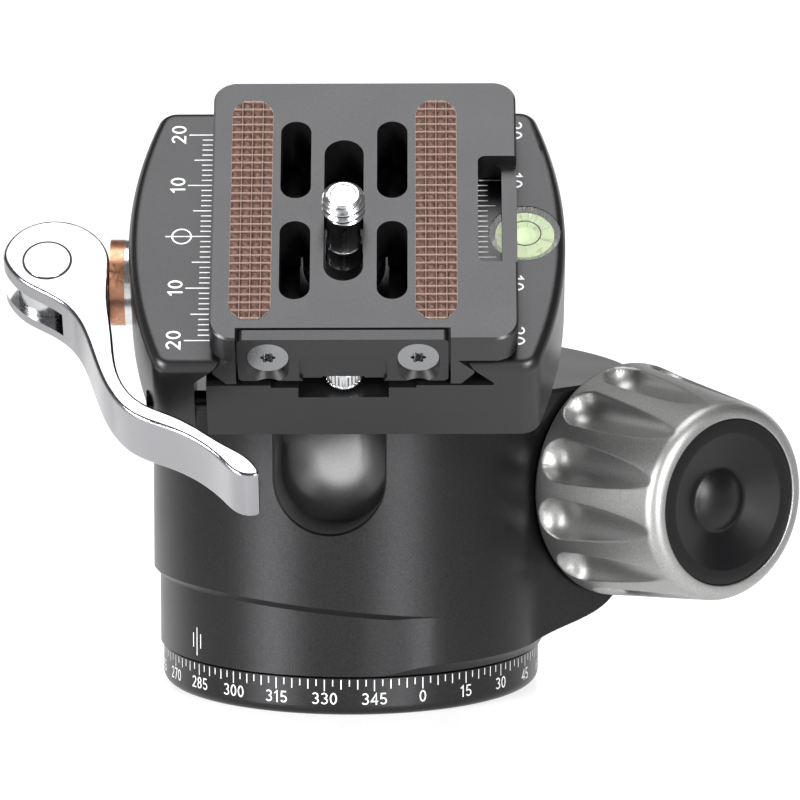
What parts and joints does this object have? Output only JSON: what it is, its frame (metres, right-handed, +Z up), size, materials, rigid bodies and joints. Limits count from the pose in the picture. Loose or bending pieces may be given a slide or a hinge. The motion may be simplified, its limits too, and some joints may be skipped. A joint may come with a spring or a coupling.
{
  "type": "tripod ball head",
  "caption": "Tripod ball head with a rotating base, drop notch, side locking knob and a lever-release dovetail clamp holding a quick-release plate.",
  "frame": {"origin": "centre of the tripod thread at the underside of the rotating base, on the vertical turning axis", "axes": "+Z up the turning axis, +X to the right seen from the front, +Y to the back; the clamp leans over to the front, towards -Y"},
  "size_m": [0.1196, 0.1002, 0.0938],
  "materials": {
    "body_black": "bead-blasted black anodised",
    "clamp_black": "satin black anodised",
    "plate_grey": "satin dark grey anodised",
    "ball_grey": "satin grey anodised",
    "knob_silver": "fine bead-blasted titanium grey",
    "cap_black": "matt black",
    "polished_steel": "polished",
    "steel": "machined",
    "brass": "burnished",
    "washer_plastic": "low-friction plastic",
    "grip_brown": "moulded grip",
    "vial_clear": "clear",
    "vial_green": "pale green fluid",
    "inner_black": "plain black"
  },
  "bodies": {
    "base": {"panning_base": "body_black", "tripod_thread_insert": "steel", "spindle_screws": "steel", "spindle_plate": "steel"},
    "body": {"housing": "body_black", "seat_ring": "washer_plastic", "shaft_bush": "brass", "thrust_washer": "washer_plastic", "bottom_ring": "inner_black", "thrust_plate": "steel", "pan_washer": "washer_plastic", "pan_shoe": "brass"},
    "pan_knob": {"pan_knob": "knob_silver", "pan_screw": "steel"},
    "knob": {"main_knob": "knob_silver", "knob_cap": "cap_black", "knob_shaft": "steel"},
    "nut": {"drive_nut": "steel"},
    "cam": {"cam_ring": "steel", "cam_balls": "steel"},
    "lift": {"lift_ring": "steel"},
    "cup": {"ball_cup": "washer_plastic"},
    "stem": {"stem_bolt": "steel"},
    "clamp": {"ball": "ball_grey", "locating_pins": "steel", "clamp_base": "clamp_black", "guide_pins": "steel", "jaw_springs": "steel", "clamp_rod": "steel", "barrel_nut": "steel", "bubble_vial": "vial_clear", "vial_fluid": "vial_green"},
    "jaw": {"moving_jaw": "clamp_black", "cam_washer": "brass", "backing_washer": "steel"},
    "lever": {"lever": "polished_steel", "lever_pin": "polished_steel"},
    "plate": {"plate": "plate_grey", "grip_strips": "grip_brown", "twist_stop_screws": "steel", "stop_screw": "steel"},
    "twist_stop": {"twist_stop": "clamp_black"},
    "screw_washer": {"screw_washer": "washer_plastic"},
    "camera_screw": {"camera_screw": "steel"}
  },
  "joints": [
    {"name": "pan_turn", "type": "hinge", "parent": "base", "child": "body", "pos_m": [0, 0, 0.01], "axis": [0, 0, 1], "continuous": true},
    {"name": "pan_knob_turn", "type": "hinge", "parent": "body", "child": "pan_knob", "pos_m": [0, 0, 0.01145], "axis": [-0.2588, 0.9659, 0], "range_deg": [0, 180]},
    {"name": "knob_turn", "type": "hinge", "parent": "body", "child": "knob", "pos_m": [0.04369, -0.00394, 0.031], "axis": [0.6157, -0.788, 0], "range_deg": [0, 360]},
    {"name": "nut_slide", "type": "slide", "parent": "body", "child": "nut", "axis": [0.6157, -0.788, 0], "range_m": [-0.00125, 0]},
    {"name": "cam_turn", "type": "hinge", "parent": "body", "child": "cam", "pos_m": [0, 0, 0.0165], "axis": [0, 0, 1], "range_deg": [0, 2.25]},
    {"name": "lift_slide", "type": "slide", "parent": "body", "child": "lift", "axis": [0, 0, 1], "range_m": [-0.00035, 0]},
    {"name": "ball_swivel", "type": "hinge", "parent": "body", "child": "cup", "pos_m": [0, 0, 0.0368], "axis": [0, 0, 1], "range_deg": [-180, 0]},
    {"name": "ball_tilt", "type": "hinge", "parent": "cup", "child": "stem", "pos_m": [0, 0, 0.0368], "axis": [0.9986, -0.0462, -0.0263], "range_deg": [-80, 49.8]},
    {"name": "ball_spin", "type": "hinge", "parent": "stem", "child": "clamp", "pos_m": [0, 0, 0.0368], "axis": [-0.01, -0.6487, 0.761], "continuous": true},
    {"name": "lever_turn", "type": "hinge", "parent": "clamp", "child": "lever", "pos_m": [-0.04482, -0.02359, 0.06492], "axis": [0.01, 0.6487, -0.761], "range_deg": [0, 100]},
    {"name": "jaw_slide", "type": "slide", "parent": "clamp", "child": "jaw", "axis": [-0.9999, 0.0114, -0.0034], "range_m": [0, 0.0015], "deforming": ["jaw_springs"]},
    {"name": "plate_slide", "type": "slide", "parent": "clamp", "child": "plate", "axis": [0.0065, 0.761, 0.6488], "range_m": [-0.02, 0.02]},
    {"name": "twist_stop_rise", "type": "slide", "parent": "plate", "child": "twist_stop", "axis": [-0.01, -0.6487, 0.761], "range_m": [0, 0.0025]},
    {"name": "camera_screw_slide", "type": "slide", "parent": "plate", "child": "screw_washer", "axis": [0.0065, 0.761, 0.6488], "range_m": [-0.0087, 0.0127]},
    {"name": "camera_screw_turn", "type": "hinge", "parent": "screw_washer", "child": "camera_screw", "pos_m": [-0.00094, -0.03259, 0.07149], "axis": [-0.01, -0.6487, 0.761], "continuous": true}
  ],
  "couplings": [
    {"joint": "nut_slide", "follows": "knob_turn", "m_per_rad": -0.00019892},
    {"joint": "cam_turn", "follows": "knob_turn", "ratio": 0.006217},
    {"joint": "lift_slide", "follows": "knob_turn", "m_per_rad": -0.000055699},
    {"joint": "jaw_slide", "follows": "lever_turn", "m_per_rad": 0.00085935}
  ]
}
